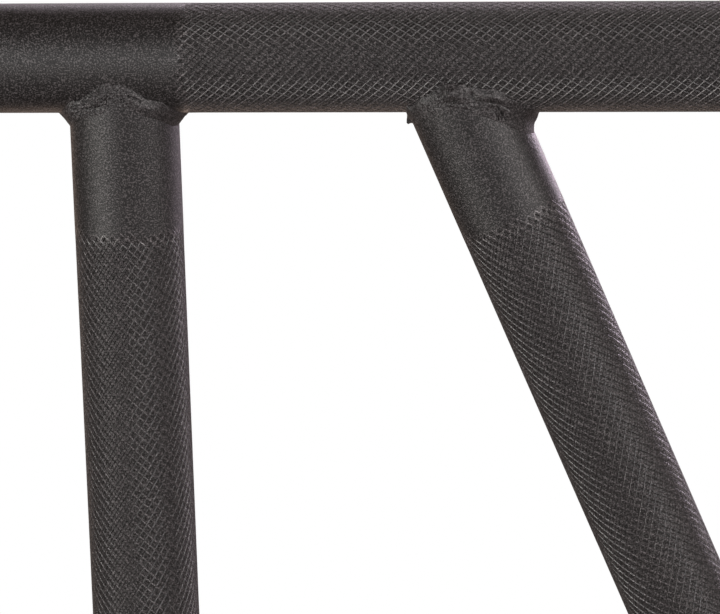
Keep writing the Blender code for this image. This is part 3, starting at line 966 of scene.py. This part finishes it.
def saddle(hand, side, coat):
    """One plate bent into a U round the upright, its open corners cut back."""
    cheek, web = SADDLE_OFFSET + SADDLE_T / 2, SADDLE_FACE_Y + SADDLE_T / 2
    bend = SADDLE_BEND - SADDLE_T / 2
    steps = 10
    path = [(cheek, SADDLE_BACK_Y - SADDLE_CHAMFER * k / 4, 1, 0) for k in range(5)]
    for k in range(steps + 1):
        a = math.pi / 2 * k / steps
        path.append((cheek - bend + bend * math.cos(a), web + bend - bend * math.sin(a),
                     math.cos(a), -math.sin(a)))
    path += [(-x, y, -nx, ny) for x, y, nx, ny in reversed(path)]

    # The section is drawn at 0 and at 1000, and its halves go to the low and the high edge
    section = box_outline((-SADDLE_T / 2, 0), (SADDLE_T / 2, 1000), SADDLE_EDGE, steps=3)
    last = len(path) - 1
    soft = SADDLE_EDGE * 0.3
    stations = [(0, SADDLE_EDGE, 0.0), (0, soft, soft)]
    stations += [(i, 0.0, 0.0) for i in range(1, last)]
    stations += [(last, soft, soft), (last, SADDLE_EDGE, 0.0)]
    points = []
    for i, squeeze, forward in stations:
        x, y, nx, ny = path[i]
        cut = max(0.0, y - (SADDLE_BACK_Y - SADDLE_CHAMFER))
        low, high = SADDLE_Z[0] + cut + squeeze, SADDLE_Z[1] - cut - squeeze
        for p in section:
            across = math.copysign(max(0.0, abs(p.x) - squeeze), p.x)
            z = low + p.y if p.y < 500 else high + p.y - 1000
            points.append(Vector((side * (ARM_X + x + nx * across), y - forward + ny * across, z)))
    faces = turned_over(ring_faces(len(stations), len(section)))
    make_piece(f"saddle_{hand}_bracket", points, faces, coat, [f"saddle_{hand}"], sharp_deg=35)


def liners(hand, side, plastic, metal):
    centre = side * ARM_X
    web = box_outline((-LINER_WEB_HALF, LINER_Z[0]), (LINER_WEB_HALF, LINER_Z[1]), 2, steps=4)
    slab(f"liner_web_{hand}", "pad", web, LINER_T, 0.5,
         lambda p, h: (centre + p.x, LINER_WEB_Y + h, p.y), plastic)
    front, back = LINER_CHEEK_Y
    low, high = LINER_Z
    corners = [(front, low), (back - LINER_CUT, low), (back, low + LINER_CUT),
               (back, high - LINER_CUT), (back - LINER_CUT, high), (front, high)]
    cheek = rounded_outline(corners, [1.5, 3, 3, 3, 3, 1.5], steps=4)
    for where, outward in (("inboard", -side), ("outboard", side)):
        slab(f"liner_{where}_{hand}", "pad", cheek, LINER_T, 0.5,
             lambda p, h: (centre + outward * (LINER_CHEEK_OFFSET + h), p.x, p.y), plastic)
        for k, z in enumerate((-78, 20)):
            start = (centre + outward * (LINER_CHEEK_OFFSET - SCREW_SINK), 4, z)
            screw(f"liner_screw_{where}_{hand}_{k}", start, outward * X, metal)
    for k, z in enumerate((-80, 0, 66)):
        start = (centre, LINER_WEB_Y + LINER_T + SCREW_SINK, z)
        screw(f"liner_screw_web_{hand}_{k}", start, -Y, metal)


def screw(name, start, direction, metal):
    """A countersunk socket screw, set in a liner with its head towards the upright."""
    profile = softened([(1.6, 0), (1.6, 2.0), (0.05, 2.3), (0.0, 4.3), (0.3, 4.6), (2.6, 2.6), (2.6, 0)], 0.2)
    turned(name, profile, start, direction, metal, sides=48, sharp_deg=35, shape=hex_socket)


def hexagon_radius(angle, flat):
    """Radius of a hexagon that is flat from its middle to each side."""
    return flat / math.cos((angle + math.pi / 6) % (math.pi / 3) - math.pi / 6)


def hex_socket(_, radius, angle):
    return hexagon_radius(angle, radius * 0.93) if 1.5 < radius < 2.35 else radius


# ---------------- bolts, pegs and pull pins


def thread_depth(distance, angle):
    phase = (distance / THREAD_PITCH + angle / math.tau) % 1.0
    return 0.85 * abs(2 * phase - 1) - 0.1


def bolt(hand, side, end, y, metal):
    """A flange bolt, its head at the end plate."""
    length = BOLT_TIP_X - BOLT_HEAD_X
    thread_start = length - THREAD_LENGTH
    thread_stop = length - THREAD_CHAMFER

    def shape(distance, radius, angle):
        if 0.9 < distance < 7.9:
            return min(radius, hexagon_radius(angle, HEX_FLAT))
        if thread_start < distance < thread_stop:
            depth = max(0.0, thread_depth(distance, angle))
            return radius - depth * min(1.0, (distance - thread_start) / 2)
        return radius

    profile = [(0.5, 0), (0.5, 4.6), (0.0, 5.4), (0.0, 8.0), (0.25, 8.7), (1.0, 10.0), (2.0, 11),
               (7.6, 11), (7.85, 11.2), (8.4, 12.2), (9.6, 12.9), (10.2, 12.9), (10.5, 12.6),
               (10.5, BOLT_R), (thread_start, BOLT_R)]
    rings = int((thread_stop - thread_start) / THREAD_STEP)
    profile += [(thread_start + (k + 1) * THREAD_STEP, BOLT_R) for k in range(rings)]
    profile += [(length - 1.0, BOLT_R - 0.4), (length, BOLT_R - 1.4), (length, 0)]
    turned(f"bolt_{hand}_{end}", profile, (side * BOLT_HEAD_X, y, 0), side * X, metal,
           [f"flange_bolt_{hand}_{end}"], sides=72, sharp_deg=28, shape=shape)


def nut(hand, side, end, y, metal):
    def shape(distance, radius, angle):
        if 2.8 < distance < 10.9 and radius > 8:
            return min(radius, hexagon_radius(angle, HEX_FLAT))
        return radius

    profile = [(0.0, 6.3), (0.0, 12.7), (0.3, 13), (1.6, 13), (2.3, 12.4), (2.9, 11.2), (3.1, 11),
               (9.6, 11), (10.5, 10.0), (11.1, 8.6), (11.3, 7.7), (11.3, 7.1), (10.7, 6.3)]
    turned(f"nut_{hand}_{end}", profile, (side * NUT_X, y, 0), side * X, metal,
           [f"flange_nut_{hand}_{end}"], sides=72, sharp_deg=28, closed=True, shape=shape)


def pegs(hand, side, metal):
    profile = [(0.0, 0), (0.0, 8.6), (0.35, 10.4), (1.3, 11.6), (2.2, 12), (4.2, 12), (4.5, 11.7),
               (4.5, PEG_R), (24.0, PEG_R), (24.4, PEG_R - 0.2), (26.2, PEG_R - 2.0), (26.2, 0)]
    for level_name, z in (("lower", -PEG_Z), ("upper", PEG_Z)):
        turned(f"peg_{hand}_{level_name}_pin", profile, (side * ARM_X, PEG_HEAD_Y, z), Y, metal,
               [f"peg_{hand}_{level_name}"])


def fluted(distance, radius, angle):
    """Nine shallow flutes round the knob, which fade out at both ends."""
    ends = max(0.0, min(1.0, (distance - 12) / 4, (30.5 - distance) / 3))
    return radius * (1 - 0.055 * ends * (0.5 + 0.5 * math.cos(9 * angle)) ** 2)


def pull_pin(hand, side, coat, bright, plastic):
    body = f"pull_pin_{hand}"
    barrel = softened([(0, 15), (29, 15), (29.6, 14.2), (31.6, 14.2), (32.2, 15), (36, 15), (36, 6.4),
                       (29, 6.4), (29, 10.9), (0, 10.9)], 0.7)
    turned(f"pin_barrel_{hand}_housing", barrel, (side * BARREL_X, 0, PIN_Z), side * X, coat,
           [f"pin_barrel_{hand}"], closed=True)
    plunger = softened([(0, 0), (0, 5.5), (2.2, 7.7), (20.8, 7.7), (20.8, 10.4), (24.8, 10.4),
                        (24.8, 6.0), (73.6, 6.0), (73.6, 0)], 0.35)
    turned(f"pin_plunger_{hand}_rod", plunger, (side * PLUNGER_X, 0, PIN_Z), side * X, bright,
           [f"pin_plunger_{hand}"], body)
    knob = [(0.3, 0), (0.3, 6.5), (0, 8), (0, 9.4), (0.6, 10), (2, 11), (4.5, 10.9), (7, 11), (9, 11.5),
            (11, 12.6), (13, 14.1), (15, 15.5), (17, 16.6), (19, 17), (22, 17), (25, 17), (27, 16.4),
            (29, 15.2), (30.2, 13.2), (30.8, 11), (31, 8.6), (30.7, 7.6), (30.2, 7.0), (30.2, 0)]
    turned(f"pin_knob_{hand}_grip", knob, (side * KNOB_X, 0, PIN_Z), side * X, plastic,
           [f"pin_knob_{hand}"], body, sides=144, sharp_deg=40, shape=fluted)


def pin_spring(hand, side, metal):
    """The coil between the plunger's collar and the barrel's end, built at its resting length; the real one
    shortens as the pin is pulled out.
    """
    steps, sides = 264, 12
    low, high = SPRING_X
    first, second, along = frame_along(side * X)
    points = []
    for i in range(steps + 1):
        angle = math.tau * SPRING_TURNS * i / steps
        out = round_axis(first, second, angle)
        travel = low + SPRING_WIRE_R + (high - low - 2 * SPRING_WIRE_R) * i / steps
        centre = Vector((0, 0, PIN_Z)) + along * travel + out * SPRING_COIL_R
        for j in range(sides):
            bend = math.tau * j / sides
            points.append(centre + along * (SPRING_WIRE_R * math.cos(bend))
                          + out * (SPRING_WIRE_R * math.sin(bend)))
    piece = make_piece(f"pin_spring_{hand}_coil", points, ring_faces(steps + 1, sides), metal,
                       [f"pin_spring_{hand}"], sharp_deg=50)
    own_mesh(piece)


# ---------------- welds of the rack mounts


def outline_rows(outline, centre_x, y, leg):
    """Rows round a square tube that stands on the saddle's front face."""
    rows = []
    count = len(outline)
    for i, p in enumerate(outline):
        along = outline[(i + 1) % count] - outline[i - 1]
        outward = Vector((along.y, 0, -along.x)).normalized()
        root = Vector((centre_x + p.x, y, p.y))
        rows.append((root + outward * leg, -Y, root - Y * leg, outward, root))
    return rows


def evened(outline, step):
    """The closed outline again, with points a step apart."""
    out = []
    for a, b in zip(outline, outline[1:] + outline[:1]):
        parts = max(1, round((b - a).length / step))
        out += [a.lerp(b, k / parts) for k in range(parts)]
    return out


def mount_welds(hand, side, coat, draw):
    """The fillets of one side arm, its gussets and the pull pin's barrel."""
    centre = side * ARM_X
    face_y = SADDLE_FACE_Y - MOUNT_GAP
    fillet = {"rough": 0.5, "across": 12}
    bead(f"weld_arm_{hand}", outline_rows(evened(arm_outline(), 0.6), centre, face_y, 4.0), coat,
         seed=draw.uniform(0, 40), rough=0.6, across=12)
    rows = ring_rows((side * (CHEEK_X + 0.05), 0, PIN_Z), side * X, 15.0, 18.2, 180)
    bead(f"weld_barrel_{hand}", rows, coat, seed=draw.uniform(0, 40), crown=0.3, **fillet)
    for where, offset in GUSSETS:
        name = f"weld_gusset_{hand}_{where}"
        middle = centre + side * offset
        facing = math.copysign(1, side * offset)
        inner = middle - facing * GUSSET_HALF
        top_z = GUSSET_TOP_Z + 0.2
        for k, (start, stop) in enumerate(((-178, -140), (-100, -58))):
            rows = line_rows((inner, start, top_z), (inner, stop, top_z), -Z, -facing * X, MOUNT_LEG)
            bead(f"{name}_{k}", rows, coat, seed=draw.uniform(0, 40), closed=False, **fillet)
        outer = middle + facing * GUSSET_HALF
        rows = line_rows((outer, face_y, GUSSET_LOW_Z + 3), (outer, face_y, -32), -Y, facing * X, MOUNT_LEG)
        bead(name + "_web", rows, coat, seed=draw.uniform(0, 40), closed=False, **fillet)


# ---------------- camera, light, output


def look_from_below():
    data = bpy.data.cameras.new("camera")
    data.lens = CAMERA_LENS
    data.sensor_width = CAMERA_SENSOR
    camera = bpy.data.objects.new("camera", data)
    forward = Vector((math.sin(CAMERA_AZIMUTH) * math.cos(CAMERA_ELEVATION),
                      math.cos(CAMERA_AZIMUTH) * math.cos(CAMERA_ELEVATION), -math.sin(CAMERA_ELEVATION)))
    level = (Z - forward * forward.z).normalized()
    aside = forward.cross(level)
    right = aside * math.cos(CAMERA_ROLL) + level * math.sin(CAMERA_ROLL)
    up = level * math.cos(CAMERA_ROLL) - aside * math.sin(CAMERA_ROLL)
    turn = Matrix((right, up, -forward)).transposed().to_4x4()
    place = (Vector(CAMERA_TARGET) - forward * CAMERA_DISTANCE) * MM
    camera.matrix_world = Matrix.Translation(place) @ turn
    bpy.context.scene.collection.objects.link(camera)
    bpy.context.scene.camera = camera
    return right, up, forward


def softbox(name, place, aim, power, colour):
    data = bpy.data.lights.new(name, "AREA")
    data.shape = "DISK"
    data.size = LIGHT_SIZE_M
    data.energy = power
    data.color = colour
    light = bpy.data.objects.new(name, data)
    light.location = place * MM
    light.rotation_euler = (aim - place).to_track_quat("-Z", "Y").to_euler()
    light.visible_camera = False
    bpy.context.scene.collection.objects.link(light)


def studio(right, up, forward):
    """The softboxes, and a world that is white to the camera and a dim warm grey to the bar."""
    target = Vector(CAMERA_TARGET)
    for name, to_right, upwards, towards, power, colour in LIGHTS:
        place = target + (right * to_right + up * upwards - forward * towards) * LIGHT_DISTANCE
        softbox(name, place, target, power, colour)
    world = bpy.data.worlds.new("studio")
    world.use_nodes = True
    nodes = Nodes(world.node_tree)
    seen = nodes.tree.nodes["Background"]
    seen.inputs["Color"].default_value = (1, 1, 1, 1)
    ambient = nodes.add("ShaderNodeBackground", Color=AMBIENT_COLOUR, Strength=AMBIENT_STRENGTH)
    rays = nodes.add("ShaderNodeLightPath")
    mix = nodes.mix_shaders(rays.outputs["Is Camera Ray"], ambient.outputs["Background"],
                            seen.outputs["Background"])
    nodes.feed(nodes.tree.nodes["World Output"].inputs["Surface"], mix)
    bpy.context.scene.world = world
    bpy.context.scene.view_settings.view_transform = "Standard"


def floor():
    """A pale floor far below, clear from underneath so that it never hides the bar."""
    mesh = bpy.data.meshes.new("floor")
    half, z = FLOOR_HALF * MM, FLOOR_Z * MM
    mesh.from_pydata([(-half, -half, z), (half, -half, z), (half, half, z), (-half, half, z)], [],
                     [(0, 1, 2, 3)])
    s = Surface("floor")
    s.set(Base_Color=s.between(s.noise(900), (0.80, 0.80, 0.80), (0.84, 0.84, 0.84)),
          Roughness=0.9)
    glow = s.add("ShaderNodeEmission", Color=(0.72, 0.72, 0.72, 1))
    rays = s.add("ShaderNodeLightPath")
    pale = s.mix_shaders(rays.outputs["Is Camera Ray"], s.shader.outputs["BSDF"], glow.outputs["Emission"])
    side = s.add("ShaderNodeNewGeometry")
    clear = s.add("ShaderNodeBsdfTransparent")
    shown = s.mix_shaders(side.outputs["Backfacing"], pale, clear.outputs["BSDF"])
    s.feed(s.tree.nodes["Material Output"].inputs["Surface"], shown)
    mesh.materials.append(s.material)
    obj = bpy.data.objects.new("floor", mesh)
    bpy.context.scene.collection.objects.link(obj)


def main():
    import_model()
    for obj in list(bpy.data.objects):
        if obj.type in ("CAMERA", "LIGHT") or obj.name == "Cube":
            bpy.data.objects.remove(obj, do_unlink=True)
    coat = coat_finish(powder_coat("powder_coat"))
    # The bead coat is a paler copy of the coat: painted sheen standing for light caught by the rough bead's
    # facets.
    painted_sheen_bead_coat = coat_finish(powder_coat("beads_powder_coat_painted_sheen", 0.2, 0.5, 0.32, (0.003, 0.020, 0.115)))
    # The flank coats are paler copies of the coat, flank A paler than flank B, and the crest coat darker:
    # painted highlight lines on the flanks, painted shade on the crests.
    grip_coats = coat_finish(
        crest_coat(),
        powder_coat("flanks_a_powder_coat_painted_highlight", 0.04, 0.28, 0.18, (0.03, 0.075, 0.22)),
        powder_coat("flanks_b_powder_coat_painted_highlight", 0.04, 0.32, 0.22, (0.014, 0.040, 0.15)),
    )
    metal, bright, wire = zinc(), chrome(), spring_steel()
    plastic, waxy = moulded_plastic(), liner_plastic()
    draw = random.Random(7)
    rails(coat, grip_coats)
    handles(painted_sheen_bead_coat, grip_coats, draw)
    rail_welds(painted_sheen_bead_coat, draw)
    for hand, side in SIDES:
        end_plate(hand, side, coat)
        side_arm(hand, side, coat, plastic)
        gussets(hand, side, coat)
        saddle(hand, side, coat)
        liners(hand, side, waxy, metal)
        pegs(hand, side, metal)
        pull_pin(hand, side, coat, bright, plastic)
        pin_spring(hand, side, wire)
        for end, y in zip(ENDS, BOLT_Y):
            bolt(hand, side, end, y, metal)
            nut(hand, side, end, y, metal)
        mount_welds(hand, side, painted_sheen_bead_coat, draw)
    right, up, forward = look_from_below()
    studio(right, up, forward)
    floor()


main()
